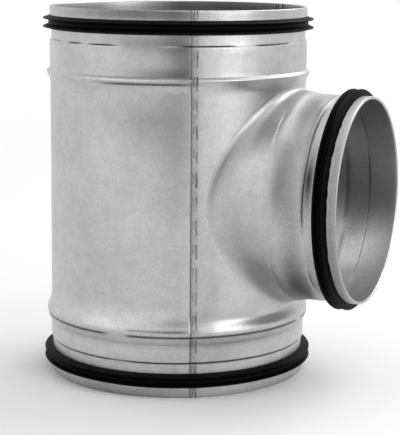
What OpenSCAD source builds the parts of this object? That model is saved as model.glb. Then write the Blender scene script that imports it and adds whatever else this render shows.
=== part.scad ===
// Pressed sheet steel duct tee: two shells welded along two lap seams, with a rubber ring on each spigot.
// The bottom rim's centre is the origin, the main axis is +Z and the branch points along +X.

/* [Ducts] */
// Outside diameter of the two main spigots, made for a 160 mm duct
main_d = 159.4; // [154:0.1:170]
// Outside diameter of the branch spigot, made for a 125 mm duct
branch_d = 124.6; // [118:0.1:125.4]
// Height of the tee from rim to rim
tee_h = 227; // [215:1:280]
// Distance from the main axis to the branch rim
branch_reach = 125.5; // [124:0.5:160]

/* [Sheet] */
// Thickness of the steel sheet
sheet_t = 0.6; // [0.5:0.05:0.7]
// How much narrower the main body is than its spigots, on the radius
body_inset = 0.3; // [0.1:0.05:0.6]

/* [Spigot ends] */
// Length of the sheet folded back over the rim
hem_len = 5.8; // [5:0.1:6.5]
// Space inside the fold, which grips the rubber ring
hem_gap = 0.5; // [0.4:0.05:0.7]
// Length from the rim to the step up to full diameter
neck_len = 20.2; // [18:0.1:24]
// Length of that step
step_run = 1.1; // [0.5:0.1:2]

/* [Stop beads] */
// Distance from the rim to the sharp side of the top bead
top_bead_toe = 38.3; // [34:0.1:40]
// Distance from the rim to the crest of the top bead
top_bead_crest = 40.1; // [40.1:0.1:42]
// Distance from the rim to where the top bead fades into the body
top_bead_heel = 47.4; // [45:0.1:49]
// Distance from the rim to the start of the bottom bead
low_bead_toe = 31.2; // [28:0.1:34]
// Length of the bottom bead along the tube
low_bead_len = 14; // [10:0.1:15]
// Height of both beads over the spigot
bead_rise = 2.2; // [1:0.1:3]

/* [Branch collar] */
// Distance from the branch rim to the foot of its stop ramp
collar_toe = 33.4; // [30:0.1:36]
// Distance from the branch rim to the crest of the collar
collar_crest = 39.8; // [38:0.1:40]
// Height of the collar over the branch spigot
collar_rise = 1.6; // [1:0.1:2]
// How much narrower the drawn metal is beside the branch than its collar, on the radius
waist = 3.4; // [1.6:0.1:4]
// Reach of the drawn fillet on the body above and below the branch
fillet_reach_end = 6.4; // [4:0.1:7]
// Reach of the drawn fillet on the body beside the branch
fillet_reach_side = 3.4; // [2.4:0.1:3.5]

/* [Seams] */
// Angle from the branch direction to each lap seam
seam_angle = 60; // [58.5:0.5:64]
// Width of the lap along the girth
lap_w = 6.7; // [4:0.1:7]
// Clear space left between sheets and rings that touch
touch_gap = 0.04; // [0.02:0.01:0.06]

/* [Rubber rings] */
// How far the sealing lips stand out past the spigot
lip_reach = 4.1; // [2:0.1:5]
// Thickness of a lip at its tip
lip_t = 0.9; // [0.6:0.1:1.2]
// Distance from the rim to the tip of the first lip
lip_1_at = 7.6; // [7:0.1:8.2]
// Distance from the rim to the tip of the second lip
lip_2_at = 12.8; // [11.8:0.1:13.2]
// Distance from the rim to the far edge of the ring
ring_end = 14.3; // [14:0.1:16]

/* [Hidden] */
steel = [0.73, 0.74, 0.75];
rubber = [0.09, 0.09, 0.095];

main_r = main_d / 2;
branch_r = branch_d / 2;
body_r = main_r - body_inset;
collar_r = branch_r + collar_rise;
branch_z = tee_h / 2;
fold_steps = 4;
bead_steps = 10;
lap_angle = lap_w / main_r * 180 / PI;
touch_angle = touch_gap / main_r * 180 / PI;
relief = 0.35 * hem_gap;

// The sheet's faces are drawn at a depth below the outer face: 0 is outside, sheet_t is inside.
// Every point is [radius, distance from the rim].
function neck_radius(spigot_r) = spigot_r - hem_gap - sheet_t;

function corner(r, s, depth, from) = depth == 0 ? [[r, s]] : [
    for (i = [0 : fold_steps])
        let (a = from + 90 * i / fold_steps) [r + depth * cos(a), s - depth * sin(a)]
];

// The rim: from the free edge of the fold, round the flat end, up the neck and over the step.
function rim_run(spigot_r, depth, short = 0) =
    let (neck_r = neck_radius(spigot_r)) concat(
        [[neck_r + hem_gap + depth, hem_len - short]],
        corner(neck_r + hem_gap, sheet_t, depth, 0),
        corner(neck_r, sheet_t, depth, 90),
        [[neck_r - depth, neck_len], [spigot_r - depth, neck_len + step_run]]
    );

function top_run(depth, short) = concat(
    rim_run(main_r, depth, short),
    [
        [main_r - depth, top_bead_toe],
        [main_r + bead_rise - depth, top_bead_crest],
        [body_r - depth, top_bead_heel]
    ]
);

function low_run(depth, short) = concat(
    rim_run(main_r, depth, short),
    [
        for (i = [0 : bead_steps])
            let (u = i / bead_steps)
            [
                main_r - body_inset * u + bead_rise * sin(180 * u) - depth,
                low_bead_toe + low_bead_len * u
            ]
    ]
);

function flipped(run) = [for (i = [len(run) - 1 : -1 : 0]) run[i]];
function from_top(run) = [for (p = run) [p[0], tee_h - p[1]]];

// Section of the main tube between two depths of the sheet, with its folds cut short by a given length.
module tube_section(outer, inner, short) {
    polygon(concat(
        from_top(top_run(outer, short)),
        flipped(low_run(outer, short)),
        low_run(inner, short),
        flipped(from_top(top_run(inner, short)))
    ));
}

module tube_sector(from, to, outer, inner, short = 0) {
    rotate([0, 0, from])
        rotate_extrude(angle = to - from, $fn = 240)
            tube_section(outer, inner, short);
}

// The drawn fillet lies in planes through the branch axis, turned by an angle a around it.
// In each plane a point is [distance along the branch, distance from its axis].
join_x = branch_reach - collar_crest - 1.5;
join_len = 0.8;
join_dip = 0.15;
ring_count = 72;
fillet_rings = 7;
crest_lift = 0.1;
hole_step = 0.5 * 360 / ring_count;

function body_x(rho, a) = sqrt(body_r * body_r - pow(rho * cos(a), 2));
function root_rho(a) = collar_r - waist * pow(cos(a), 2);
function foot_reach(a) = fillet_reach_side + (fillet_reach_end - fillet_reach_side) * pow(sin(a), 2);
function foot_rho(a) = root_rho(a) + foot_reach(a);
function unit(v) = v / norm(v);

// Direction along the body towards the branch axis, and the direction out of the body.
function along_body(a) =
    let (rho = foot_rho(a)) unit([rho * pow(cos(a), 2) / body_x(rho, a), -1]);
function out_of_body(a) = let (d = along_body(a)) [-d[1], d[0]];

function foot(a) = [body_x(foot_rho(a), a), foot_rho(a)];
function bend(a) = foot(a) + along_body(a) * foot_reach(a) / -along_body(a)[1];
function collar_edge() = [join_x, collar_r];

function fillet(a, v) =
    pow(1 - v, 2) * foot(a) + 2 * v * (1 - v) * bend(a) + v * v * collar_edge();
function fillet_dir(a, v) =
    unit((1 - v) * (bend(a) - foot(a)) + v * (collar_edge() - bend(a)));
function fillet_out(a, v) = let (d = fillet_dir(a, v)) [-d[1], d[0]];

// Curve value at which the fillet stands a given height over the body.
function at_height(a, h) = sqrt(h / ((collar_edge() - bend(a)) * out_of_body(a)));

// One plane of the fillet, outer face then inner face, from inside the body sheet to inside the collar.
function plane_faces(a) =
    let (
        start = foot(a) - along_body(a) * 0.8,
        v1 = at_height(a, 0.1),
        v2 = at_height(a, 0.35)
    )
    [
        [start - out_of_body(a) * 0.37 * sheet_t, start - out_of_body(a) * 0.63 * sheet_t],
        [
            fillet(a, v1) + fillet_out(a, v1) * crest_lift,
            fillet(a, v1) - fillet_out(a, v1) * 0.65 * sheet_t
        ],
        for (i = [0 : fillet_rings])
            let (
                v = v2 + (1 - v2) * i / fillet_rings,
                lift = crest_lift * pow(1 - i / fillet_rings, 2)
            )
            [fillet(a, v) + fillet_out(a, v) * lift, fillet(a, v) - fillet_out(a, v) * sheet_t],
        [
            [join_x + join_len, collar_r - join_dip],
            [join_x + join_len, collar_r - sheet_t + join_dip]
        ]
    ];

function in_space(p, a) = [p[0], p[1] * cos(a), branch_z + p[1] * sin(a)];

module drawn_fillet() {
    planes = [for (k = [0 : ring_count - 1]) plane_faces(360 * k / ring_count)];
    rows = len(planes[0]);
    // Points run round each plane's section: out along the outer face and back along the inner one.
    loop = 2 * rows;
    points = [
        for (k = [0 : ring_count - 1])
            let (a = 360 * k / ring_count)
            for (j = [0 : loop - 1])
                in_space(j < rows ? planes[k][j][0] : planes[k][loop - 1 - j][1], a)
    ];
    faces = [
        for (k = [0 : ring_count - 1])
            let (next = (k + 1) % ring_count)
            for (j = [0 : loop - 1])
                let (
                    up = (j + 1) % loop,
                    p = k * loop + j,
                    q = next * loop + j,
                    r = next * loop + up,
                    s = k * loop + up
                )
                each [[p, r, q], [p, s, r]]
    ];
    polyhedron(points, faces);
}

// The hole in the body under the fillet, a little smaller than the fillet's foot.
module fillet_hole() {
    outline = [
        for (k = [0 : ring_count - 1])
            let (
                a = 360 * k / ring_count + hole_step,
                rho = fillet(a, at_height(a, 0.2))[1]
            )
            rho * [sin(a), cos(a)]
    ];
    translate([0, 0, branch_z])
        rotate([0, 90, 0])
            translate([0, 0, body_r / 3])
                linear_extrude(body_r)
                    rotate(180)
                        polygon([for (p = outline) [p[0], p[1]]]);
}

function branch_run(depth) = concat(
    rim_run(branch_r, depth),
    [
        [branch_r - depth, collar_toe],
        [collar_r - depth, collar_crest],
        [collar_r - depth, collar_crest + 1.3]
    ]
);

// The branch spigot, with its inner edge thinned to lie inside the fillet's sheet.
module branch_spigot() {
    thin = collar_crest + 1.3 + join_len;
    translate([branch_reach, 0, branch_z])
        rotate([0, -90, 0])
            rotate_extrude($fn = 240)
                polygon(concat(
                    branch_run(0),
                    [[collar_r - join_dip, thin], [collar_r - sheet_t + join_dip, thin]],
                    flipped(branch_run(sheet_t))
                ));
}

// In each lap this shell keeps the inner half of its sheet and the branch shell the outer half.
// That half is drawn a hair thin and short, so its faces lie inside the full sheet that it runs into.
module plain_shell() {
    hair = 0.02;
    color(steel) {
        tube_sector(seam_angle, 360 - seam_angle, 0, sheet_t);
        for (side = [0, 1])
            mirror([0, side, 0])
                tube_sector(
                    seam_angle - lap_angle, seam_angle + 0.5,
                    (sheet_t + touch_gap) / 2, sheet_t - hair, hair
                );
    }
}

module branch_shell() {
    lap_edge = seam_angle - lap_angle - touch_angle;
    seam_edge = seam_angle - touch_angle;
    past_fold = -0.5;
    color(steel) {
        difference() {
            tube_sector(-seam_edge, seam_edge, 0, sheet_t);
            for (side = [0, 1])
                mirror([0, side, 0])
                    tube_sector(
                        lap_edge, seam_angle + 1,
                        (sheet_t - touch_gap) / 2, sheet_t + relief, past_fold
                    );
            fillet_hole();
        }
        drawn_fillet();
        branch_spigot();
    }
}

// Rubber ring: a tail gripped in the folded rim, a band on the neck and two thin lips.
module ring_section(spigot_r) {
    inner = neck_radius(spigot_r) + touch_gap;
    tail = neck_radius(spigot_r) + hem_gap - touch_gap;
    tip = spigot_r + lip_reach;
    polygon([
        [inner, sheet_t + 1],
        [tail, sheet_t + 1],
        [tail, hem_len + touch_gap],
        [spigot_r, hem_len + 0.15],
        [tip - lip_t / 3, lip_1_at - lip_t / 2],
        [tip, lip_1_at],
        [tip - lip_t / 4, lip_1_at + lip_t / 2],
        [spigot_r + 0.7, lip_1_at + lip_t],
        [spigot_r + 0.7, lip_2_at - 2],
        [tip - lip_t / 3, lip_2_at - lip_t / 2],
        [tip, lip_2_at],
        [tip - lip_t / 4, lip_2_at + lip_t / 2],
        [spigot_r + 0.2, ring_end - 0.2],
        [inner, ring_end]
    ]);
}

module rubber_ring(spigot_r) {
    color(rubber)
        rotate_extrude($fn = 240)
            ring_section(spigot_r);
}

module bottom_gasket() {
    rubber_ring(main_r);
}

module top_gasket() {
    translate([0, 0, tee_h])
        mirror([0, 0, 1])
            rubber_ring(main_r);
}

module branch_gasket() {
    translate([branch_reach, 0, branch_z])
        rotate([0, -90, 0])
            rubber_ring(branch_r);
}

plain_shell();
branch_shell();
top_gasket();
bottom_gasket();
branch_gasket();
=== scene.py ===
import math

import bpy
import numpy as np
from mathutils import Matrix, Vector, noise


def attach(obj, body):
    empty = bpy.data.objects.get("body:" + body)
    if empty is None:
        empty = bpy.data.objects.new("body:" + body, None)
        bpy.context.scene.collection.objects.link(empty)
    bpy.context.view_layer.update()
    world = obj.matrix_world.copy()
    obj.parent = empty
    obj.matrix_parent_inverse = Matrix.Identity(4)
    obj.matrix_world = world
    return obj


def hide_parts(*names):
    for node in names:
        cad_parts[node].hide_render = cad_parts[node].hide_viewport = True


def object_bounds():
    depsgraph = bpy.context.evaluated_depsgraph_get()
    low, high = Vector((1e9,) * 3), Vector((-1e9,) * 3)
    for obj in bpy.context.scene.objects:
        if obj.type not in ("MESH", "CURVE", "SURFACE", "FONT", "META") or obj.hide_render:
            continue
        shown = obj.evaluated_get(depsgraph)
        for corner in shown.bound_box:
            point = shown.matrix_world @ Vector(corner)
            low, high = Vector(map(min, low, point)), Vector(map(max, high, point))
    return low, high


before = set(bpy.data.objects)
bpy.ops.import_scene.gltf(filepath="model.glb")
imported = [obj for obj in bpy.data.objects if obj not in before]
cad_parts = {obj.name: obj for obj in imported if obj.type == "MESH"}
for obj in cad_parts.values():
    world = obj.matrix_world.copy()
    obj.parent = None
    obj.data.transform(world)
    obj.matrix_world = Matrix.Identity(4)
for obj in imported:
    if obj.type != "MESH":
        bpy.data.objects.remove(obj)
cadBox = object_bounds()
print("frame loaded")

unit = 0.001  # sizes below are in millimetres, but for the stage and the lamps


def linear(hexColour):
    def channel(pair):
        value = int(pair, 16) / 255
        return value / 12.92 if value <= 0.04045 else ((value + 0.055) / 1.055) ** 2.4
    return (*[channel(hexColour[i:i + 2]) for i in (1, 3, 5)], 1.0)


def addNode(tree, kind, inputs=None, **settings):
    node = tree.nodes.new("ShaderNode" + kind)
    for name, value in settings.items():
        setattr(node, name, value)
    for socket, value in (inputs or {}).items():
        if isinstance(value, bpy.types.NodeSocket):
            tree.links.new(value, node.inputs[socket])
        else:
            node.inputs[socket].default_value = value
    return node


def newMaterial(name):
    material = bpy.data.materials.new(name)
    material.use_nodes = True
    material.node_tree.nodes.clear()
    return material, material.node_tree


# the tee's own sizes; the frame gives the height and the branch's reach
tee = {
    "height": (cadBox[1][2] - cadBox[0][2]) / unit,
    "branchReach": cadBox[1][0] / unit,
    "mainRadius": 79.7,
    "branchRadius": 62.3,
    "bodyInset": 0.3,
    "sheet": 0.6,
    "seamAngle": 60.0,
    "lapWidth": 6.7,
}
tee["branchHeight"] = tee["height"] / 2
lapAngle = math.degrees(tee["lapWidth"] / tee["mainRadius"])
half = tee["sheet"] / 2

# the folded rim and the step behind it, measured from the rim; where no jaw of the expanding tool pressed,
# the step rises gently from softFrom to softTo
rim = {
    "foldLength": 5.8, "foldGap": 0.5, "foldMargin": 0.1, "bendSlack": 0.001,
    "neckLength": 20.2, "stepRun": 1.1, "neckBend": 0.4, "stepBend": 0.8,
    "softFrom": 17.2, "softTo": 25.5, "rowsBefore": (18.2, 19.1), "rowsAfter": (22.4, 23.4, 24.4),
    "leastCrisp": 0.3, "crispEnds": 4.0,
}

# the beads that stop the duct, measured from their own rims
topBead = {
    "toe": 38.3, "crest": 40.1, "heel": 47.8, "rise": 2.2,
    "toeBend": 0.5, "crestBend": 0.6, "fall": 1.8, "fineFrom": 48,
}
lowBead = {"toe": 31.2, "crest": 38.4, "heel": 46.4, "rise": 2.2, "swell": 0.9}

# distances between the rows of points along the tube
rowGap = {"low": 0.5, "body": 4.0, "bodyTop": 0.7, "high": 0.45}


def girth(degrees, radius):
    # length round a tube, for an angle
    return degrees * math.pi / 180 * radius


def ease(value, start, end):
    u = min(1, max(0, (value - start) / (end - start)))
    return u * u * (3 - 2 * u)


def near(value, place, width):
    return math.exp(-((value - place) / width) ** 2)


def spaced(start, end, step):
    count = max(1, round(abs(end - start) / step))
    return [start + (end - start) * i / count for i in range(count + 1)]


def bentRun(corners, turnStep=20, longest=4.0):
    # corners are (radius, place along the axis, bend radius); long straights are cut into short rows
    run = [corners[0][:2]]
    for k in range(1, len(corners) - 1):
        before, here, after = (np.array(corners[j][:2]) for j in (k - 1, k, k + 1))
        bend = corners[k][2]
        into, out = here - before, after - here
        into, out = into / np.linalg.norm(into), out / np.linalg.norm(out)
        turn = math.atan2(into[0] * out[1] - into[1] * out[0], into @ out)
        if not bend or abs(turn) < 1e-4:
            run.append(tuple(here))
            continue
        reach = bend * math.tan(abs(turn) / 2)
        side = math.copysign(1, turn) * np.array([-into[1], into[0]])
        centre = here - into * reach + side * bend
        steps = max(2, math.ceil(math.degrees(abs(turn)) / turnStep))
        for i in range(steps + 1):
            swing = turn * i / steps
            arm = -side * bend
            run.append((
                centre[0] + arm[0] * math.cos(swing) - arm[1] * math.sin(swing),
                centre[1] + arm[0] * math.sin(swing) + arm[1] * math.cos(swing),
            ))
    run.append(corners[-1][:2])
    rows = [run[0]]
    for start, end in zip(run, run[1:]):
        gap = math.dist(start, end)
        if gap < 1e-6:
            continue
        cuts = max(1, math.ceil(gap / longest))
        rows += [
            tuple(np.array(start) + (np.array(end) - np.array(start)) * i / cuts) for i in range(1, cuts + 1)
        ]
    return rows


def sheetMiddles(spigotRadius):
    # radii of the middle of the sheet, on the spigot and on the neck
    outer = spigotRadius - half
    return outer, outer - rim["foldGap"] - tee["sheet"]


def rimCorners(spigotRadius):
    # the middle of the sheet, from the fold's free edge to the spigot
    outer, neck = sheetMiddles(spigotRadius)
    # a hair less than a half circle, so that the fold's two bends don't meet
    bend = (outer - neck) / 2 - rim["bendSlack"]
    corners = [(outer, rim["foldLength"], 0), (outer, half, bend), (neck, half, bend)]
    corners += [(neck, along, 0) for along in (rim["softFrom"], *rim["rowsBefore"])]
    corners += [
        (neck, rim["neckLength"], rim["neckBend"]),
        (outer, rim["neckLength"] + rim["stepRun"], rim["stepBend"]),
    ]
    return corners + [(outer, along, 0) for along in (*rim["rowsAfter"], rim["softTo"])]


def stepRadius(radius, along, spigotRadius, crisp):
    # between the marks of the tool's jaws the step rises gently instead
    if along < rim["softFrom"] or along > rim["softTo"]:
        return radius
    outer, neck = sheetMiddles(spigotRadius)
    gentle = neck + (outer - neck) * ease(along, rim["softFrom"], rim["softTo"])
    return gentle + (radius - gentle) * crisp


def lowBeadRadius(along):
    # an even swell, up from the spigot and down to the body
    base = tee["mainRadius"] - half
    crest, toe, heel = lowBead["crest"], lowBead["toe"], lowBead["heel"]
    if along <= toe:
        return base
    if along >= heel:
        return base - tee["bodyInset"]
    if along < crest:
        u = (along - toe) / (crest - toe)
        return base + lowBead["rise"] * math.sin(math.pi / 2 * u) ** lowBead["swell"]
    u = (along - crest) / (heel - crest)
    drop = lowBead["rise"] + tee["bodyInset"]
    return base - tee["bodyInset"] + drop * (0.5 + 0.5 * math.cos(math.pi * u))


def topBeadRadius(along):
    # from the crest down to the body
    base = tee["mainRadius"] - half - tee["bodyInset"]
    u = min(1, max(0, (along - topBead["crest"]) / (topBead["heel"] - topBead["crest"])))
    return base + (topBead["rise"] + tee["bodyInset"]) * (1 - u) ** topBead["fall"]


def bodyRadius(height):
    # the middle of the sheet between the two crests
    if height < tee["height"] / 2:
        return lowBeadRadius(height)
    return topBeadRadius(tee["height"] - height)


# heights at which the branch shell's drawn panel meets its plain top and bottom, and the angle of its sides
panel = {"low": tee["branchHeight"] - 71.2, "high": tee["branchHeight"] + 71.6, "side": 54.4}


def lowRun():
    # radius and height of each row, from the low rim up to the panel
    foot = (tee["mainRadius"] - half, lowBead["toe"], 0.0)
    run = bentRun(rimCorners(tee["mainRadius"]) + [foot])
    for along in spaced(lowBead["toe"], panel["low"], rowGap["low"])[1:]:
        run.append((lowBeadRadius(along), along))
    return run


def bodyRun():
    # the rows beside the panel, closer together where the top bead runs out
    fineFrom = tee["height"] - topBead["fineFrom"]
    heights = spaced(panel["low"], fineFrom, rowGap["body"])
    heights += spaced(fineFrom, panel["high"], rowGap["bodyTop"])[1:]
    return [(bodyRadius(z), z) for z in heights]


def highRun():
    # from the panel up to the top rim, worked out from the rim and turned over
    outer = tee["mainRadius"] - half
    crest = topBead["crest"]
    pastCrest = crest + topBead["crestBend"]
    run = bentRun(rimCorners(tee["mainRadius"]) + [
        (outer, topBead["toe"], topBead["toeBend"]),
        (outer + topBead["rise"], crest, topBead["crestBend"]),
        (topBeadRadius(pastCrest), pastCrest, 0),
    ])
    for along in spaced(pastCrest, tee["height"] - panel["high"], rowGap["high"])[1:]:
        run.append((topBeadRadius(along), along))
    return [(r, tee["height"] - s) for r, s in run[::-1]]


# how unevenly the sheet was rolled round
unevenness = {"depth": 0.16, "lumpsRound": 1.6, "lumpHeight": 60, "start": (3.1, 0, 0)}

# places where the sheet isn't quite round: angle from the branch, height, half widths, depth
dents = [
    {"angle": -96, "height": 206, "wide": 4, "tall": 5, "depth": 0.25},
    {"angle": -104, "height": 199, "wide": 3, "tall": 4, "depth": 0.2},
    {"angle": -40, "height": 24, "wide": 16, "tall": 7, "depth": 0.15},
    {"angle": -72, "height": 168, "wide": 14, "tall": 22, "depth": 0.35},
]


def outOfRound(angle, height):
    turn, lumps = math.radians(angle), unevenness["lumpsRound"]
    place = Vector((math.cos(turn) * lumps, math.sin(turn) * lumps, height / unevenness["lumpHeight"]))
    away = unevenness["depth"] * noise.noise(place + Vector(unevenness["start"]))
    for dent in dents:
        across = girth(angle - dent["angle"], tee["mainRadius"]) / dent["wide"]
        up = (height - dent["height"]) / dent["tall"]
        away -= dent["depth"] * math.exp(-across * across - up * up)
    return away


# how far the two sheets move in and out to pass each other in the lap, and how long that takes them
lap = {"over": 0.1, "joggle": 4.5, "edgeSlack": 0.2, "under": -0.52, "underEnds": 0.4}


def overLap(angle):
    # the branch shell lies over the plain shell
    fromSeam = girth(tee["seamAngle"] - abs(angle), tee["mainRadius"])
    start = tee["lapWidth"] - lap["edgeSlack"]
    return lap["over"] * (1 - ease(fromSeam, start, start + lap["joggle"]))


def underLap(angle):
    # the plain shell lies under the branch shell
    pastSeam = girth(abs(angle) - tee["seamAngle"], tee["mainRadius"])
    return lap["under"] * (1 - ease(pastSeam, 0.0, lap["underEnds"]))


def tubePoint(radius, angle, height):
    turn = math.radians(angle)
    return Vector((radius * math.cos(turn), radius * math.sin(turn), height))


# spots where the zinc is painted darker or lighter: painted shade inside the top spigot, a painted dark
# reflection beside the seam on the top spigot, painted highlights on the beads' flanks, and painted shade
# that tones down highlights on the spigots and the saddle's ridge, with other darker or lighter patches;
# wide, tall and long are half sizes, and from and to are the angles at which a spot stops with its sheet
tubeShadingAndTone = [
    {"angle": -78, "height": 208, "wide": 26, "tall": 5, "tone": -0.38, "from": -180, "to": -60},
    {"angle": -72, "height": 190, "wide": 22, "tall": 3, "tone": -0.5, "from": -180, "to": -60},
    {"angle": -62, "height": 198, "wide": 8, "tall": 14, "tone": -0.45, "from": -180, "to": -60},
    {"angle": -79, "height": 156, "wide": 14, "tall": 14, "tone": -0.2, "from": -180, "to": -60},
    {"angle": -80, "height": 165, "wide": 24, "tall": 6, "tone": -0.12, "from": -180, "to": -60},
    {"angle": -66, "height": 150, "wide": 8, "tall": 24, "tone": -0.1, "from": -180, "to": -60},
    {"angle": -80, "height": 187, "wide": 30, "tall": 0.9, "tone": 0.35, "from": -180, "to": -60},
    {"angle": -74, "height": 105, "wide": 34, "tall": 52, "tone": 0.1, "from": -180, "to": -60},
    {"angle": -85, "height": 225, "wide": 44, "tall": 4, "tone": -0.7, "from": -180, "to": -60},
    {"angle": -30, "height": 225, "wide": 30, "tall": 4, "tone": -0.22, "from": -60, "to": 60},
    {"angle": -37, "height": 204, "wide": 9, "tall": 5, "tone": -0.3, "from": -60, "to": 60},
    {"angle": -88, "height": 2, "wide": 40, "tall": 4, "tone": -0.38, "from": -180, "to": -60},
    {"angle": 84, "height": 224, "wide": 70, "tall": 9, "tone": -0.85, "from": 20, "to": 180},
    {"angle": -105, "height": 26, "wide": 34, "tall": 8, "tone": 0.16, "from": -180, "to": -60},
    {"angle": -48, "height": 26, "wide": 16, "tall": 8, "tone": -0.22, "from": -60, "to": 60},
    {"angle": -70, "height": 47, "wide": 13, "tall": 5, "tone": 0.25, "from": -180, "to": -60},
    {"angle": -98, "height": 48, "wide": 28, "tall": 5, "tone": 0.22, "from": -180, "to": -60},
    {"angle": -24, "height": 47, "wide": 11, "tall": 5, "tone": 0.22, "from": -60, "to": 60},
    {"angle": -51, "height": 80, "wide": 12, "tall": 26, "tone": -0.12, "from": -60, "to": 60},
    {"angle": -54, "height": 47, "wide": 4, "tall": 7, "tone": -0.22, "from": -60, "to": 60},
    {"angle": -50, "height": 62, "wide": 5, "tall": 9, "tone": -0.14, "from": -60, "to": 60},
    {"angle": -36, "height": 46, "wide": 24, "tall": 7, "tone": -0.2, "from": -60, "to": 60},
    {"angle": -30, "height": 183, "wide": 18, "tall": 5, "tone": -0.2, "from": -60, "to": 60},
    {"angle": -23, "height": 178, "wide": 14, "tall": 5, "tone": -0.16, "from": -60, "to": 60},
    {"angle": -10, "height": 182, "wide": 14, "tall": 4, "tone": -0.18, "from": -60, "to": 60},
]
# painted shade inside the top of the branch and under the branch, painted light on the branch's inner lower
# wall, and painted shade that tones down highlights on its step and on the saddle's ridge, with other darker
# or lighter patches
branchShadingAndTone = [
    {"turn": 168, "along": 33.5, "wide": 18, "long": 6, "tone": -0.42},
    {"turn": 160, "along": 26, "wide": 55, "long": 5.5, "tone": -0.26},
    {"turn": 162, "along": 16.5, "wide": 24, "long": 3.5, "tone": -0.36},
    {"turn": 162, "along": 18, "wide": 15, "long": 3, "tone": -0.6},
    {"turn": 112, "along": 54, "wide": 26, "long": 5, "tone": -0.2},
    {"turn": 225, "along": 30, "wide": 22, "long": 8, "tone": -0.5},
    {"turn": 128, "along": 61, "wide": 22, "long": 9, "tone": -0.26},
    {"turn": 165, "along": 50, "wide": 22, "long": 7, "tone": -0.08},
    {"turn": 150, "along": 66, "wide": 18, "long": 8, "tone": -0.12},
    {"turn": 192, "along": 61, "wide": 30, "long": 10, "tone": -0.1},
    {"turn": 147, "along": 34, "wide": 15, "long": 5, "tone": -0.26},
    {"turn": 180, "along": 3, "wide": 90, "long": 3.5, "tone": -0.46},
    {"turn": 335, "along": 9, "wide": 16, "long": 12, "tone": 0.35},
    {"turn": 100, "along": 46.5, "wide": 24, "long": 3, "tone": -0.12},
    {"turn": 118, "along": 21.4, "wide": 34, "long": 1.6, "tone": -0.45},
    {"turn": 308, "along": 14, "wide": 28, "long": 18, "tone": 0.8},
    {"turn": 20, "along": 10, "wide": 50, "long": 30, "tone": -0.3},
]


# painted shade, painted highlights and other darker or lighter patches at this place of the tube
def tubeShadingAndToneAt(angle, height):
    tone = 0.0
    for spot in tubeShadingAndTone:
        if not spot["from"] <= angle <= spot["to"]:
            continue
        across = girth(angle - spot["angle"], tee["mainRadius"]) / spot["wide"]
        tone += spot["tone"] * math.exp(-across ** 2 - ((height - spot["height"]) / spot["tall"]) ** 2)
    return tone


# painted shade, painted highlights and other darker or lighter patches at this place of the branch
def branchShadingAndToneAt(turn, along):
    tone = 0.0
    for spot in branchShadingAndTone:
        off = girth(abs((turn - spot["turn"] + 180) % 360 - 180), tee["branchRadius"]) / spot["wide"]
        tone += spot["tone"] * math.exp(-off ** 2 - ((along - spot["along"]) / spot["long"]) ** 2)
    return tone


def shadeSmooth(mesh, sharpFrom):
    # smooth in the light, apart from edges that turn by more than sharpFrom degrees
    mesh.polygons.foreach_set("use_smooth", [True] * len(mesh.polygons))
    mesh.set_sharp_from_angle(angle=math.radians(sharpFrom))


sheetSharpFrom = 50


class Sheet:
    # collects the middle surface of one sheet, with what each point knows about itself
    def __init__(self):
        self.points, self.lifts, self.creases, self.tones, self.faces = [], [], [], [], []

    def add(self, point, lift=0.0, creaseShade=0.0, tone=0.0):
        self.points.append(Vector(point))
        self.lifts.append(lift)
        self.creases.append(creaseShade)
        self.tones.append(tone)
        return len(self.points) - 1

    def weave(self, rows, closed=False):
        for lower, upper in zip(rows, rows[1:]):
            count = len(lower)
            for k in range(count if closed else count - 1):
                onward = (k + 1) % count
                self.faces.append((lower[k], lower[onward], upper[onward], upper[k]))

    def build(self, name, material):
        mesh = bpy.data.meshes.new(name)
        mesh.from_pydata([p * unit for p in self.points], [], self.faces)
        mesh.update()
        normals = [v.normal.copy() for v in mesh.vertices]
        for vertex, normal, lift in zip(mesh.vertices, normals, self.lifts):
            vertex.co += Vector((normal.x, normal.y, 0)) * lift * unit
        # the first attribute holds painted shade along creases and the branch shell's edge; the second holds
        # painted shade, painted highlights and other darker or lighter patches
        for kind, values in (("creaseShade", self.creases), ("tone", self.tones)):
            layer = mesh.attributes.new(kind, "FLOAT", "POINT")
            layer.data.foreach_set("value", np.array(values, dtype=np.float32))
        piece = bpy.data.objects.new(name, mesh)
        bpy.context.collection.objects.link(piece)
        thick = piece.modifiers.new("thickness", "SOLIDIFY")
        thick.thickness = tee["sheet"] * unit
        thick.offset = 0
        graph = bpy.context.evaluated_depsgraph_get()
        solid = bpy.data.meshes.new_from_object(piece.evaluated_get(graph))
        piece.modifiers.clear()
        piece.data = solid
        solid.name = name
        shadeSmooth(solid, sheetSharpFrom)
        solid.materials.clear()
        solid.materials.append(material)
        return piece


# the expanding tool's jaws leave sharp creases, crisp only in places; painted shade darkens the zinc along
# them and
# along fine lines on the beads: each line's distance from its rim, its width, how dark it is, the degrees it
# takes to end, and the angles from and to
stepLine = rim["neckLength"] + 0.25
shadedCreases = {
    "top": {"rim": "top", "at": stepLine, "width": 0.4, "dark": 0.55, "ends": 2.0, "arcs": [
        (-174, -149), (-140, -128), (-121, -112), (-106, -94), (-64, -42), (-30, -8),
        (4, 32), (44, 58), (66, 92), (104, 131), (139, 175),
    ]},
    "low": {"rim": "low", "at": stepLine, "width": 0.4, "dark": 0.9, "ends": 2.0, "arcs": [
        (-177, -155), (-146, -96), (-86, -4), (2, 40), (47, 81), (92, 120), (127, 170),
    ]},
    "score": {"rim": "low", "at": 36.6, "width": 0.7, "dark": 1.0, "ends": 2.0, "arcs": [
        (-172, -152), (-147, -97), (-87, -3), (3, 60), (64, 120), (125, 176),
    ]},
    "ridge": {"rim": "low", "at": 39.9, "width": 0.5, "dark": 0.6, "ends": 2.0, "arcs": [
        (-87, -62), (64, 96), (130, 150),
    ]},
    "crest": {"rim": "top", "at": 42.2, "width": 0.7, "dark": 1.0, "ends": 9.0, "arcs": [
        (-98, -60), (74, 118),
    ]},
}

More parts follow.
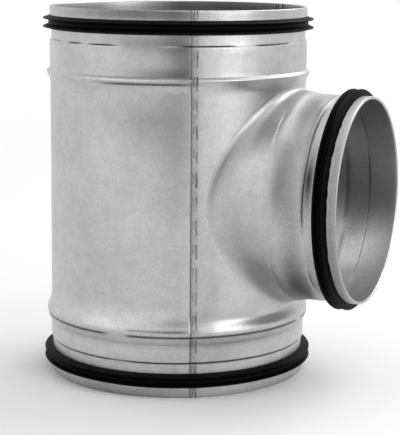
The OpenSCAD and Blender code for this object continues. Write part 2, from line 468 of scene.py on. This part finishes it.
# painted shade on the plain shell along the branch shell's edge
seamEdgeShade = {"dark": 0.55, "from": 0.3, "to": 1.2, "behind": 0.2}


def inArcs(angle, arcs, ends):
    best = 0
    for start, end in arcs:
        middle, reach = (start + end) / 2, (end - start) / 2
        off = abs((angle - middle + 180) % 360 - 180)
        best = max(best, 1 - ease(off, reach - ends, reach + ends))
    return best


def lineDark(line, angle, fromRim):
    return line["dark"] * near(fromRim, line["at"], line["width"]) * inArcs(angle, line["arcs"], line["ends"])


def tubeCreaseShade(angle, height):
    # how dark the painted shade along the sharp creases and bead lines round the tube, and along the branch
    # shell's edge, is at this place
    fromRim = {"low": height, "top": tee["height"] - height}
    dark = max(lineDark(line, angle, fromRim[line["rim"]]) for line in shadedCreases.values())
    pastSeam = girth(abs(angle) - tee["seamAngle"], tee["mainRadius"])
    if pastSeam > -seamEdgeShade["behind"]:
        dark = max(dark, seamEdgeShade["dark"] * (1 - ease(pastSeam, seamEdgeShade["from"], seamEdgeShade["to"])))
    return dark


def tubeSurface(radius, angle, height):
    # a point of the tube's sheet, with its steps softened and its dents in
    fromRim, nearer = min((height, "low"), (tee["height"] - height, "top"))
    if fromRim < rim["foldLength"] + rim["foldMargin"]:
        return tubePoint(radius, angle, height)
    least = rim["leastCrisp"]
    crisp = least + (1 - least) * inArcs(angle, shadedCreases[nearer]["arcs"], rim["crispEnds"])
    shaped = stepRadius(radius, fromRim, tee["mainRadius"], crisp)
    return tubePoint(shaped + outOfRound(angle, height), angle, height)


def tubeRows(sheet, run, angles, lift):
    return [
        [sheet.add(tubeSurface(r, a, z), lift(a), tubeCreaseShade(a, z), tubeShadingAndToneAt(a, z)) for a in angles]
        for r, z in run
    ]


# galvanised steel sheet, hot dipped and then rolled: a bright, soft grey metal with a fine grain, clouds of
# duller zinc and faint lines round the tube. The grain is drawn coarser than the real one so that it shows
zinc = {
    # line is the dark colour of the weld marks and of the painted shade along creases and the branch shell's
    # edge
    "bright": "#c9c9c9", "dull": "#aaaaaa", "line": "#262626",
    "grainSize": 1.1, "mottleSize": 7.0, "cloudSize": 34.0,
    "grainShare": 0.4, "mottleShare": 0.3, "cloudShare": 0.3, "dullAt": 0.32, "brightAt": 0.68,
    "roughness": 0.36, "roughnessSpread": 0.06, "roughAt": 0.3, "smoothAt": 0.7,
    "grainStrength": 0.25, "grainDepth": 0.12,
    "scratchLength": 26.0, "scratchWidth": 1.3, "scratchTone": 0.86, "scratchFrom": 0.58, "scratchTo": 0.72,
}

# the seam welder's dark marks, with painted shade in their dents, and the painted shade along the branch
# shell's edge, all measured from that edge, with their spacing up the seam and the sizes of the blotches that
# make them wander, stain and wear off in places
welder = {
    "pitch": 14.0, "start": 119.4, "dashDepth": 0.5, "dashCore": 0.35, "wander": 1.2, "wanderSize": 3.846,
    "edgeAt": 0.55, "edgeCore": 0.2, "edgeReach": 1.1, "edgeShade": 0.45,
    "stainAt": 2.4, "stainCore": 1.6, "stainReach": 3.0, "stainSize": 2.381,
    "stainFrom": 0.4, "stainTo": 0.66, "stain": 0.38, "leastStain": 0.07,
    "wearSize": 13.33, "wearFrom": 0.35, "wearTo": 0.6, "leastWorn": 0.35,
    "rows": [
        {"at": 3.1, "width": 0.8, "length": 8.4, "dark": 0.75},
        {"at": 1.3, "width": 0.75, "length": 5.6, "dark": 0.6},
    ],
}


def weldMarks(tree, place, angle, height):
    # two rows of dark dashes pressed by the welder's wheels, with painted shade in their dents, the painted
    # shade along the branch shell's edge, and the grime and stains round them
    turned = addNode(tree, "Math", {0: angle}, operation="ABSOLUTE")
    seamAt = math.radians(tee["seamAngle"])
    inward = 0.1  # any angle does, because the map goes on past its ends
    fromSeam = addNode(tree, "MapRange", {
        "Value": turned.outputs[0], "From Min": seamAt, "From Max": seamAt - inward,
        "To Min": 0.0, "To Max": inward * tee["mainRadius"],
    }, clamp=False)
    wander = addNode(tree, "TexNoise", {
        "Vector": place, "Scale": 1 / (welder["wanderSize"] * unit), "Detail": 3.0,
    })
    shaky = addNode(tree, "Math", {
        0: wander.outputs["Fac"], 1: welder["wander"], 2: fromSeam.outputs[0],
    }, operation="MULTIPLY_ADD")
    pitches = addNode(tree, "Math", {0: height, 1: 1 / (welder["pitch"] * unit)}, operation="MULTIPLY")
    shifted = addNode(tree, "Math", {
        0: pitches.outputs[0], 1: welder["start"] / welder["pitch"],
    }, operation="SUBTRACT")
    share = addNode(tree, "Math", {0: shifted.outputs[0]}, operation="FRACT")
    marks = []
    for row in welder["rows"]:
        # half the wander brings the row back to its place, because noise lies about a half
        off = addNode(tree, "Math", {
            0: shaky.outputs[0], 1: row["at"] + welder["wander"] / 2,
        }, operation="SUBTRACT")
        size = addNode(tree, "Math", {0: off.outputs[0]}, operation="ABSOLUTE")
        thin = addNode(tree, "MapRange", {
            "Value": size.outputs[0], "From Min": row["width"] * welder["dashCore"], "From Max": row["width"],
            "To Min": row["dark"], "To Max": 0.0,
        }, interpolation_type="SMOOTHSTEP")
        inside = addNode(tree, "Math", {
            0: share.outputs[0], 1: 1 - row["length"] / welder["pitch"],
        }, operation="GREATER_THAN")
        marks.append(addNode(tree, "Math", {0: thin.outputs[0], 1: inside.outputs[0]}, operation="MULTIPLY"))
    dashes = addNode(tree, "Math", {0: marks[0].outputs[0], 1: marks[1].outputs[0]}, operation="MAXIMUM")
    wear = addNode(tree, "TexNoise", {
        "Vector": place, "Scale": 1 / (welder["wearSize"] * unit), "Detail": 3.0, "Roughness": 0.7,
    })
    worn = addNode(tree, "MapRange", {
        "Value": wear.outputs["Fac"], "From Min": welder["wearFrom"], "From Max": welder["wearTo"],
        "To Min": welder["leastWorn"], "To Max": 1.0,
    })
    patchy = addNode(tree, "Math", {0: dashes.outputs[0], 1: worn.outputs[0]}, operation="MULTIPLY")

    # painted shade along the edge of the branch shell
    edgeOff = addNode(tree, "Math", {0: shaky.outputs[0], 1: welder["edgeAt"]}, operation="SUBTRACT")
    edgeSize = addNode(tree, "Math", {0: edgeOff.outputs[0]}, operation="ABSOLUTE")
    edge = addNode(tree, "MapRange", {
        "Value": edgeSize.outputs[0], "From Min": welder["edgeCore"], "From Max": welder["edgeReach"],
        "To Min": welder["edgeShade"], "To Max": 0.0,
    })

    # heat stains between the rows
    stain = addNode(tree, "TexNoise", {
        "Vector": place, "Scale": 1 / (welder["stainSize"] * unit), "Detail": 4.0, "Roughness": 0.7,
    })
    stained = addNode(tree, "MapRange", {
        "Value": stain.outputs["Fac"], "From Min": welder["stainFrom"], "From Max": welder["stainTo"],
        "To Min": welder["leastStain"], "To Max": welder["stain"],
    })
    stainOff = addNode(tree, "Math", {0: shaky.outputs[0], 1: welder["stainAt"]}, operation="SUBTRACT")
    stainSize = addNode(tree, "Math", {0: stainOff.outputs[0]}, operation="ABSOLUTE")
    stainShare = addNode(tree, "MapRange", {
        "Value": stainSize.outputs[0], "From Min": welder["stainCore"], "From Max": welder["stainReach"],
        "To Min": 1.0, "To Max": 0.0,
    })
    grime = addNode(tree, "Math", {0: stained.outputs[0], 1: stainShare.outputs[0]}, operation="MULTIPLY")
    seamEdge = addNode(tree, "Math", {0: grime.outputs[0], 1: edge.outputs[0]}, operation="MAXIMUM")
    dark = addNode(tree, "Math", {0: patchy.outputs[0], 1: seamEdge.outputs[0]}, operation="MAXIMUM")
    return patchy.outputs[0], dark.outputs[0]


def makeZinc():
    material, tree = newMaterial("galvanisedSteel")
    place = addNode(tree, "TexCoord").outputs["Object"]
    grain = addNode(tree, "TexNoise", {
        "Vector": place, "Scale": 1 / (zinc["grainSize"] * unit), "Detail": 2.0, "Roughness": 0.6,
    })
    cloud = addNode(tree, "TexNoise", {
        "Vector": place, "Scale": 1 / (zinc["cloudSize"] * unit), "Detail": 3.0, "Roughness": 0.55,
    })
    mottle = addNode(tree, "TexNoise", {
        "Vector": place, "Scale": 1 / (zinc["mottleSize"] * unit), "Detail": 4.0, "Roughness": 0.65,
    })
    fine = addNode(tree, "Math", {0: grain.outputs["Fac"], 1: zinc["grainShare"]}, operation="MULTIPLY")
    mixed = addNode(tree, "Math", {
        0: mottle.outputs["Fac"], 1: zinc["mottleShare"], 2: fine.outputs[0],
    }, operation="MULTIPLY_ADD")
    both = addNode(tree, "Math", {
        0: cloud.outputs["Fac"], 1: zinc["cloudShare"], 2: mixed.outputs[0],
    }, operation="MULTIPLY_ADD")
    colour = addNode(tree, "ValToRGB", {"Fac": both.outputs[0]})
    dullEnd, brightEnd = colour.color_ramp.elements
    dullEnd.position, dullEnd.color = zinc["dullAt"], linear(zinc["dull"])
    brightEnd.position, brightEnd.color = zinc["brightAt"], linear(zinc["bright"])

    # faint lines round the tube, left when the sheet was rolled
    apart = addNode(tree, "SeparateXYZ", {0: place})
    angle = addNode(tree, "Math", {0: apart.outputs["Y"], 1: apart.outputs["X"]}, operation="ARCTAN2")
    around = addNode(tree, "Math", {
        0: angle.outputs[0], 1: tee["mainRadius"] / zinc["scratchLength"],
    }, operation="MULTIPLY")
    upward = addNode(tree, "Math", {
        0: apart.outputs["Z"], 1: 1 / (zinc["scratchWidth"] * unit),
    }, operation="MULTIPLY")
    rolled = addNode(tree, "CombineXYZ", {0: around.outputs[0], 1: upward.outputs[0]})
    scratch = addNode(tree, "TexNoise", {
        "Vector": rolled.outputs[0], "Scale": 1.0, "Detail": 3.0, "Roughness": 0.7,
    })
    scratched = addNode(tree, "MapRange", {
        "Value": scratch.outputs["Fac"], "From Min": zinc["scratchFrom"], "From Max": zinc["scratchTo"],
        "To Min": 1.0, "To Max": zinc["scratchTone"],
    })

    # painted shade, painted highlights and other darker or lighter patches, stored on the points of the sheet
    tone = addNode(tree, "Attribute", attribute_name="tone")
    level = addNode(tree, "Math", {0: tone.outputs["Fac"], 1: 1.0}, operation="ADD")
    shade = addNode(tree, "Math", {0: level.outputs[0], 1: scratched.outputs[0]}, operation="MULTIPLY")
    toned = addNode(tree, "VectorMath", {
        0: colour.outputs["Color"], 3: shade.outputs[0],
    }, operation="SCALE")
    # painted shade along creases and edges, and the weld marks, darken the zinc towards the line colour
    creaseShade = addNode(tree, "Attribute", attribute_name="creaseShade")
    dashes, seamDark = weldMarks(tree, place, angle.outputs[0], apart.outputs["Z"])
    allDark = addNode(tree, "Math", {0: seamDark, 1: creaseShade.outputs["Fac"]}, operation="MAXIMUM")
    lined = addNode(tree, "Mix", {
        0: allDark.outputs[0], 6: toned.outputs[0], 7: linear(zinc["line"]),
    }, data_type="RGBA")

    # bright zinc is smoother than dull zinc
    rough = addNode(tree, "MapRange", {
        "Value": both.outputs[0], "From Min": zinc["roughAt"], "From Max": zinc["smoothAt"],
        "To Min": zinc["roughness"] + zinc["roughnessSpread"],
        "To Max": zinc["roughness"] - zinc["roughnessSpread"],
    })
    grainBump = addNode(tree, "Bump", {
        "Height": grain.outputs["Fac"], "Strength": zinc["grainStrength"],
        "Distance": zinc["grainDepth"] * unit,
    })
    bump = addNode(tree, "Bump", {
        "Height": dashes, "Strength": 1.0, "Distance": welder["dashDepth"] * unit,
        "Normal": grainBump.outputs[0],
    }, invert=True)
    shader = addNode(tree, "BsdfPrincipled", {
        "Base Color": lined.outputs[2], "Metallic": 1.0, "Roughness": rough.outputs[0],
        "Normal": bump.outputs[0],
    })
    addNode(tree, "OutputMaterial", {"Surface": shader.outputs[0]})
    return material


galvanisedSteel = makeZinc()
print("zinc made")


def edgeColumns(columns):
    # angles of the columns of points near a seam, some measured from the lap's far edge
    seam = tee["seamAngle"]
    return [seam - lapAngle + a for a in columns["fromLap"]] + [seam + a for a in columns["fromSeam"]]


plainColumns = {"fromLap": (0, 1.6, 3.2), "fromSeam": (-0.1, 0.35, 0.8, 1.6), "step": 1.5}


def plainShell():
    sheet = Sheet()
    edge = edgeColumns(plainColumns)
    start = tee["seamAngle"] + plainColumns["fromSeam"][-1]
    end = 360 - tee["seamAngle"] - plainColumns["fromSeam"][-1]
    angles = edge + spaced(start, end, plainColumns["step"])[1:-1] + [360 - a for a in edge[::-1]]
    signed = [a if a <= 180 else a - 360 for a in angles]
    run = lowRun()[:-1] + bodyRun()[:-1] + highRun()
    sheet.weave(tubeRows(sheet, run, signed, underLap))
    return sheet.build("plainShell", galvanisedSteel)


# the saddle drawn out of the branch shell; distances along the branch are from its rim
branch = {
    "collarToe": 33.4, "collarCrest": 39.8, "collarRise": 1.6, "collarBend": 20, "collarRun": 1.5,
    "footReachEnd": 6.4, "waist": 3.4, "sideFoot": 53.9, "footProbe": 0.4, "kneeShare": 1.7,
    "skew": 2.4, "skewAt": 21, "skewReach": 9, "leastCrisp": 0.25, "longestRow": 3.0,
    "filletRows": 22, "kneeRow": 14, "panelRows": 14, "linesAcross": 88,
}
collarRadius = tee["branchRadius"] - half + branch["collarRise"]
branchColumns = {"fromLap": (-0.4, 0, 0.6, 1.7, 3.4), "fromSeam": (-0.03,)}

# painted shade along the creases that the jaws left on the branch: on its step outside, and inside where the
# collar starts
branchCreaseShade = {
    "step": {"at": stepLine, "width": 0.4, "dark": 0.85, "ends": 5, "arcs": [
        (112, 188), (214, 232), (-60, 18), (34, 66),
    ]},
    "inner": {"at": branch["collarToe"], "width": 1.0, "dark": 0.5, "ends": 4, "arcs": [
        (-66, -30), (-22, 24),
    ]},
}

# the fold's free edge was cut a little raggedly
ragged = {"mean": 0.35, "depth": 0.7, "lumpsRound": 15, "start": 4.2, "within": 0.05}


def branchRun():
    outer = tee["branchRadius"] - half
    corners = rimCorners(tee["branchRadius"]) + [
        (outer, branch["collarToe"], branch["collarBend"]),
        (collarRadius, branch["collarCrest"], branch["collarBend"]),
        (collarRadius, branch["collarCrest"] + branch["collarRun"], 0),
    ]
    return bentRun(corners, longest=branch["longestRow"])[::-1]


def panelPoint(across, up):
    # a point of the body, from its place seen along the branch
    height = tee["branchHeight"] + up
    radius = bodyRadius(height)
    angle = math.degrees(math.asin(across / radius))
    radius += outOfRound(angle, height)
    return Vector((math.sqrt(radius * radius - across * across), across, height)), angle


def footAt(turn):
    # how far from the branch's axis the fillet's foot lies, and how far the fillet reaches out to it
    sideFoot = (tee["mainRadius"] - half) * math.sin(math.radians(branch["sideFoot"]))
    sideReach = sideFoot - (collarRadius - branch["waist"])
    root = collarRadius - branch["waist"] * math.cos(turn) ** 2
    reach = sideReach + (branch["footReachEnd"] - sideReach) * math.sin(turn) ** 2
    return root + reach, reach


def drawnPanel(sheet, border, turns):
    # rows from the panel's border in to the fillet's foot, on the round of the tube
    rows = []
    for k in range(1, branch["panelRows"]):
        u = k / branch["panelRows"]
        row = []
        for index, turn in zip(border, turns):
            rho, _ = footAt(turn)
            edge = sheet.points[index]
            across = edge[1] * (1 - u) + rho * math.cos(turn) * u
            up = (edge[2] - tee["branchHeight"]) * (1 - u) + rho * math.sin(turn) * u
            point, angle = panelPoint(across, up)
            height = point[2]
            row.append(sheet.add(point, overLap(angle), tubeCreaseShade(angle, height), tubeShadingAndToneAt(angle, height)))
        rows.append(row)
    return rows


def drawnFillet(sheet, turns):
    # a curve in each plane through the branch's axis, from the foot to the knee, and on to the collar
    count, kneeRow = branch["filletRows"], branch["kneeRow"]
    end = np.array([tee["branchReach"] - branch["collarCrest"] - branch["collarRun"], collarRadius])
    rows = [[] for _ in range(count + 1)]
    for turn in turns:
        c, s = math.cos(turn), math.sin(turn)
        rho, reach = footAt(turn)
        beside = rho + branch["footProbe"]
        foot, _ = panelPoint(rho * c, rho * s)
        outside, _ = panelPoint(beside * c, beside * s)
        start = np.array([foot[0], rho])
        along = start - np.array([outside[0], beside])
        along /= np.linalg.norm(along)
        bend = start + along * reach / -along[1]
        onward = end - bend
        share = branch["kneeShare"] * np.linalg.norm(bend - start) / np.linalg.norm(onward)
        knee = bend + onward * min(1, share)
        for k in range(count + 1):
            v = k / kneeRow
            if v <= 1:
                flat = (1 - v) ** 2 * start + 2 * v * (1 - v) * bend + v * v * knee
            else:
                flat = knee + (end - knee) * (k - kneeRow) / (count - kneeRow)
            rows[k].append(sheet.add(
                (flat[0], flat[1] * c, tee["branchHeight"] + flat[1] * s), 0, 0,
                branchShadingAndToneAt(math.degrees(turn), tee["branchReach"] - flat[0]),
            ))
    return rows


def branchSpigot(sheet, turns):
    outer = tee["branchRadius"] - half
    least, step, inner = branch["leastCrisp"], branchCreaseShade["step"], branchCreaseShade["inner"]
    rows = []
    for radius, along in branchRun()[1:]:
        # the step runs a little askew: it is nearer the rim on the far side
        askew = max(0, 1 - abs(along - branch["skewAt"]) / branch["skewReach"])
        onEdge = radius > outer - ragged["within"] and abs(along - rim["foldLength"]) < ragged["within"]
        row = []
        for turn in turns:
            degrees, c, s = math.degrees(turn), math.cos(turn), math.sin(turn)
            crisp = inArcs(degrees, step["arcs"], step["ends"])
            shaped = stepRadius(radius, along, tee["branchRadius"], least + (1 - least) * crisp)
            skew = branch["skew"] * (1 + c) / 2 * askew
            wave = 0.0
            if onEdge:
                place = Vector((c * ragged["lumpsRound"], s * ragged["lumpsRound"], ragged["start"]))
                wave = ragged["mean"] + ragged["depth"] * noise.noise(place)
            row.append(sheet.add(
                (tee["branchReach"] - along + skew + wave, shaped * c, tee["branchHeight"] + shaped * s),
                0, max(lineDark(step, degrees, along), lineDark(inner, degrees, along)),
                branchShadingAndToneAt(degrees, along),
            ))
        rows.append(row)
    return rows


def branchShell():
    sheet = Sheet()
    edge = edgeColumns(branchColumns)
    side = panel["side"]
    angles = [-a for a in edge[::-1]] + spaced(-side, side, 2 * side / branch["linesAcross"]) + edge
    strip = len(edge)
    low = tubeRows(sheet, lowRun(), angles, overLap)
    high = tubeRows(sheet, highRun(), angles, overLap)
    # the strips beside the drawn panel
    body = bodyRun()[1:-1]
    left = tubeRows(sheet, body, angles[:strip + 1], overLap)
    right = tubeRows(sheet, body, angles[-strip - 1:], overLap)
    sheet.weave([low[-1][:strip + 1]] + left + [high[0][:strip + 1]])
    sheet.weave([low[-1][-strip - 1:]] + right + [high[0][-strip - 1:]])
    sheet.weave(low)
    sheet.weave(high)

    # the panel's border, anticlockwise seen from outside: right side, top, left side, bottom
    border = [row[0] for row in right]
    border += high[0][strip:len(angles) - strip][::-1]
    border += [row[-1] for row in left][::-1]
    border += low[-1][strip:len(angles) - strip]
    corners = [sheet.points[index] for index in border]
    turns = [math.atan2(point[2] - tee["branchHeight"], point[1]) for point in corners]

    rows = [border] + drawnPanel(sheet, border, turns)
    rows += drawnFillet(sheet, turns)
    rows += branchSpigot(sheet, turns)
    sheet.weave(rows, closed=True)
    return sheet.build("branchShell", galvanisedSteel)


# EPDM sealing ring, moulded: a deep, nearly matt black with a little dust in patches. The skin's roughness
# is drawn coarser than the real one so that it shows
rubber = {
    "colour": "#030303", "dust": "#080808", "roughness": 0.55, "specular": 0.05,
    "dustFrom": 0.5, "dustTo": 0.8, "dustSize": 11.11,
    "skinSize": 1.111, "skinStrength": 0.2, "skinDepth": 0.1,
}

# the ring's section, measured from the rim: each pair is a distance out or in and one along, but at the lips'
# tips the second is a share of the tip's half thickness
ring = {
    "tailFrom": 1.6, "slack": 0.05, "shoulder": [(-0.15, 0.15), (0.5, 0.35)],
    "lipReach": 4.1, "lipTip": 0.9, "tipBelow": (0.3, 0.8), "tipAbove": (0.25, 0.9),
    "lips": [
        {"at": 7.6, "below": (1.2, 0.1), "above": (1.2, 0.1)},
        {"at": 12.8, "below": (1.2, 0.3), "above": (1.3, 0.15)},
    ],
    "valleyUp": [(1.3, 0.5), (0.8, 1.3)], "valleyFloor": 0.7, "valleyDown": [(0.8, 2.0), (1.3, 1.0)],
    "end": 14.3, "endRound": [(0.6, 0.25), (0.0, 0.1)],
    "segments": 288, "sharpFrom": 60,
}


def makeRubber():
    material, tree = newMaterial("epdmRubber")
    place = addNode(tree, "TexCoord").outputs["Object"]
    dust = addNode(tree, "TexNoise", {
        "Vector": place, "Scale": 1 / (rubber["dustSize"] * unit), "Detail": 4.0, "Roughness": 0.7,
    })
    share = addNode(tree, "MapRange", {
        "Value": dust.outputs["Fac"], "From Min": rubber["dustFrom"], "From Max": rubber["dustTo"],
    })
    colour = addNode(tree, "Mix", {
        0: share.outputs[0], 6: linear(rubber["colour"]), 7: linear(rubber["dust"]),
    }, data_type="RGBA")
    skin = addNode(tree, "TexNoise", {
        "Vector": place, "Scale": 1 / (rubber["skinSize"] * unit), "Detail": 2.0,
    })
    bump = addNode(tree, "Bump", {
        "Height": skin.outputs["Fac"], "Strength": rubber["skinStrength"],
        "Distance": rubber["skinDepth"] * unit,
    })
    shader = addNode(tree, "BsdfPrincipled", {
        "Base Color": colour.outputs[2], "Roughness": rubber["roughness"],
        "Specular IOR Level": rubber["specular"], "Normal": bump.outputs[0],
    })
    addNode(tree, "OutputMaterial", {"Surface": shader.outputs[0]})
    return material


epdmRubber = makeRubber()


def lipPoints(lip, tip):
    # from the lip's lower root round its rounded tip to its upper root
    lipHalf = ring["lipTip"] / 2
    (belowIn, belowAlong), (aboveIn, aboveAlong) = lip["below"], lip["above"]
    (lowIn, lowShare), (highIn, highShare) = ring["tipBelow"], ring["tipAbove"]
    return [
        (tip - belowIn, lip["at"] - lipHalf - belowAlong),
        (tip - lowIn, lip["at"] - lipHalf * lowShare),
        (tip, lip["at"]),
        (tip - highIn, lip["at"] + lipHalf * highShare),
        (tip - aboveIn, lip["at"] + lipHalf + aboveAlong),
    ]


def ringLoop(spigotRadius):
    # closed section of the ring: tail in the fold, band on the neck, two lips
    fold, slack, end = rim["foldLength"], ring["slack"], ring["end"]
    neck = spigotRadius - rim["foldGap"] - tee["sheet"]
    gripped = neck + rim["foldGap"] - slack
    tip = spigotRadius + ring["lipReach"]
    first, second = ring["lips"]
    lipHalf = ring["lipTip"] / 2
    (root, fromLip), (side, fromFirst) = ring["valleyUp"]
    (farSide, fromSecond), (farRoot, fromFarLip) = ring["valleyDown"]
    tail = [(neck + slack, ring["tailFrom"]), (gripped, ring["tailFrom"]), (gripped, fold + slack)]
    tail += [(spigotRadius + outward, fold + along) for outward, along in ring["shoulder"]]
    valley = [
        (spigotRadius + root, first["at"] + lipHalf + fromLip),
        (spigotRadius + side, first["at"] + fromFirst),
        (spigotRadius + ring["valleyFloor"], (first["at"] + second["at"]) / 2),
        (spigotRadius + farSide, second["at"] - fromSecond),
        (spigotRadius + farRoot, second["at"] - lipHalf - fromFarLip),
    ]
    close = [(spigotRadius + outward, end - back) for outward, back in ring["endRound"]]
    close.append((neck + slack, end))
    return tail + lipPoints(first, tip) + valley + lipPoints(second, tip) + close


def addMesh(name, points, faces, material):
    mesh = bpy.data.meshes.new(name)
    mesh.from_pydata(points, [], faces)
    mesh.update()
    mesh.materials.append(material)
    piece = bpy.data.objects.new(name, mesh)
    bpy.context.collection.objects.link(piece)
    return piece


def sealingRing(name, spigotRadius, placing):
    loop = ringLoop(spigotRadius)
    turns = ring["segments"]
    points, faces = [], []
    for k in range(turns):
        turn = 2 * math.pi * k / turns
        for radius, along in loop:
            point = Vector((radius * math.cos(turn), radius * math.sin(turn), along))
            points.append(placing @ (point * unit))
    count = len(loop)
    for k in range(turns):
        onward = (k + 1) % turns
        for j in range(count):
            up = (j + 1) % count
            faces.append((k * count + j, onward * count + j, onward * count + up, k * count + up))
    piece = addMesh(name, points, faces, epdmRubber)
    shadeSmooth(piece.data, ring["sharpFrom"])
    return piece


plain = plainShell()
print("plain shell made")
saddle = branchShell()
print("branch shell made")
topRim = Matrix.Translation((0, 0, tee["height"] * unit))
branchRim = Matrix.Translation((tee["branchReach"] * unit, 0, tee["branchHeight"] * unit))
atTop = topRim @ Matrix.Rotation(math.pi, 4, "X")
atBranch = branchRim @ Matrix.Rotation(-math.pi / 2, 4, "Y")
rings = {
    "top_gasket": sealingRing("topRing", tee["mainRadius"], atTop),
    "bottom_gasket": sealingRing("bottomRing", tee["mainRadius"], Matrix.Identity(4)),
    "branch_gasket": sealingRing("branchRing", tee["branchRadius"], atBranch),
}
print("sealing rings made")

for piece, node in [(plain, "plain_shell"), (saddle, "branch_shell")]:
    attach(piece, "root")
    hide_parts(node)
for node, piece in rings.items():
    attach(piece, "root")
    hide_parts(node)

# a matt white sweep that shows white to the camera and keeps the tee's soft shadow, and a dark card; the
# stage's sizes and the lamps' are in metres
stage = {
    "floorSize": 30.0, "floorLift": 0.03, "whiteFrom": 0.3, "whiteTo": 1.6, "floorTone": "#eeeeee",
    "cardTurn": -67.3, "cardDistance": 1.35, "cardWidth": 0.5, "cardHeight": 0.75, "cardTone": "#1c1c1c",
    "mattness": 0.9, "roomLight": 0.7,
}


def seenRays(tree):
    # one for the rays that see the background: the camera's, and those in metal or through glass
    rays = addNode(tree, "LightPath")
    both = addNode(tree, "Math", {
        0: rays.outputs["Is Camera Ray"], 1: rays.outputs["Is Glossy Ray"],
    }, operation="MAXIMUM")
    return addNode(tree, "Math", {
        0: both.outputs[0], 1: rays.outputs["Is Transmission Ray"],
    }, operation="MAXIMUM").outputs[0]


def mattShader(tree, tone):
    return addNode(tree, "BsdfPrincipled", {"Base Color": linear(tone), "Roughness": stage["mattness"]})


def makeFloor():
    material, tree = newMaterial("whiteSweep")
    shader = mattShader(tree, stage["floorTone"])
    centred = addNode(tree, "TexCoord").outputs["Object"]
    away = addNode(tree, "VectorMath", {0: centred}, operation="LENGTH")
    lifted = addNode(tree, "MapRange", {
        "Value": away.outputs["Value"], "From Min": stage["whiteFrom"], "From Max": stage["whiteTo"],
        "To Min": stage["floorLift"], "To Max": 1.0,
    }, interpolation_type="SMOOTHSTEP")
    glow = addNode(tree, "Math", {0: seenRays(tree), 1: lifted.outputs[0]}, operation="MULTIPLY")
    lift = addNode(tree, "Emission", {"Strength": 1.0})
    both = addNode(tree, "MixShader", {0: glow.outputs[0], 1: shader.outputs[0], 2: lift.outputs[0]})
    addNode(tree, "OutputMaterial", {"Surface": both.outputs[0]})
    size = stage["floorSize"]
    corners = [(-size, -size, 0), (size, -size, 0), (size, size, 0), (-size, size, 0)]
    return addMesh("floor", corners, [(0, 1, 2, 3)], material)


makeFloor()


def makeCard():
    # a dark card behind the camera, seen only in reflections, as the dim side of a studio is
    material, tree = newMaterial("darkCard")
    shader = mattShader(tree, stage["cardTone"])
    addNode(tree, "OutputMaterial", {"Surface": shader.outputs[0]})
    turn = math.radians(stage["cardTurn"])
    out = Vector((math.cos(turn), math.sin(turn), 0)) * stage["cardDistance"]
    wide = Vector((-math.sin(turn), math.cos(turn), 0)) * stage["cardWidth"] / 2
    tall = Vector((0, 0, stage["cardHeight"]))
    corners = [out - wide, out + wide, out + wide + tall, out - wide + tall]
    card = addMesh("darkCard", corners, [(0, 1, 2, 3)], material)
    card.visible_camera = False
    card.visible_diffuse = False
    card.visible_shadow = False
    return card


makeCard()

lamps = [
    {"name": "rightLamp", "at": (1.55, -0.45, 0.75), "aim": (0, 0, 0.12), "size": (0.9, 1.3), "power": 8},
    {"name": "leftLamp", "at": (-1.3, -1.3, 1.0), "aim": (0, 0, 0.12), "size": (1.2, 1.5), "power": 3},
    {"name": "backLamp", "at": (0.6, 1.3, 1.7), "aim": (0, 0, 0.05), "size": (1.7, 1.7), "power": 21},
    {"name": "topLamp", "at": (0.3, 0.0, 2.2), "aim": (0, 0, 0.1), "size": (1.8, 1.8), "power": 6},
]
for lamp in lamps:
    light = bpy.data.lights.new(lamp["name"], "AREA")
    light.shape = "RECTANGLE"
    light.size, light.size_y = lamp["size"]
    light.energy = lamp["power"]
    lampObject = bpy.data.objects.new(lamp["name"], light)
    lampObject.location = lamp["at"]
    lampObject.rotation_euler = (Vector(lamp["aim"]) - Vector(lamp["at"])).to_track_quat("-Z", "Y").to_euler()
    bpy.context.collection.objects.link(lampObject)

world = bpy.data.worlds.new("studio")
world.use_nodes = True
worldTree = world.node_tree
worldTree.nodes.clear()
soft = addNode(worldTree, "Background", {"Color": linear("#ffffff"), "Strength": stage["roomLight"]})
white = addNode(worldTree, "Background", {"Color": linear("#ffffff"), "Strength": 1.0})
shown = addNode(worldTree, "MixShader", {0: seenRays(worldTree), 1: soft.outputs[0], 2: white.outputs[0]})
addNode(worldTree, "OutputWorld", {"Surface": shown.outputs[0]})
bpy.context.scene.world = world

# the camera stands where the photograph's rims, beads and rings line up with the tee's
view = {
    "at": (391.8, -857.7, 262.9), "turn": 22.695, "down": 7.670, "roll": 0.492,
    "lens": 136.3, "sensor": 36, "shift": (-0.0671, -0.1657), "clipStart": 0.05,
}


def makeCamera():
    camera = bpy.data.cameras.new("camera")
    camera.lens = view["lens"]
    camera.sensor_width = view["sensor"]
    camera.sensor_fit = "HORIZONTAL"
    camera.shift_x, camera.shift_y = view["shift"]
    camera.clip_start = view["clipStart"]
    cameraObject = bpy.data.objects.new("camera", camera)
    turn, down = math.radians(view["turn"]), math.radians(view["down"])
    forward = Vector((-math.sin(turn), math.cos(turn), 0)) * math.cos(down) - Vector((0, 0, math.sin(down)))
    level = Vector((math.cos(turn), math.sin(turn), 0))
    above = level.cross(forward)
    roll = math.radians(view["roll"])
    right = level * math.cos(roll) + above * math.sin(roll)
    above = above * math.cos(roll) - level * math.sin(roll)
    facing = Matrix((right, above, -forward)).transposed()
    cameraObject.matrix_world = Matrix.Translation(Vector(view["at"]) * unit) @ facing.to_4x4()
    bpy.context.collection.objects.link(cameraObject)
    bpy.context.scene.camera = cameraObject


makeCamera()
bpy.context.scene.view_settings.view_transform = "Standard"
print("studio and camera made")
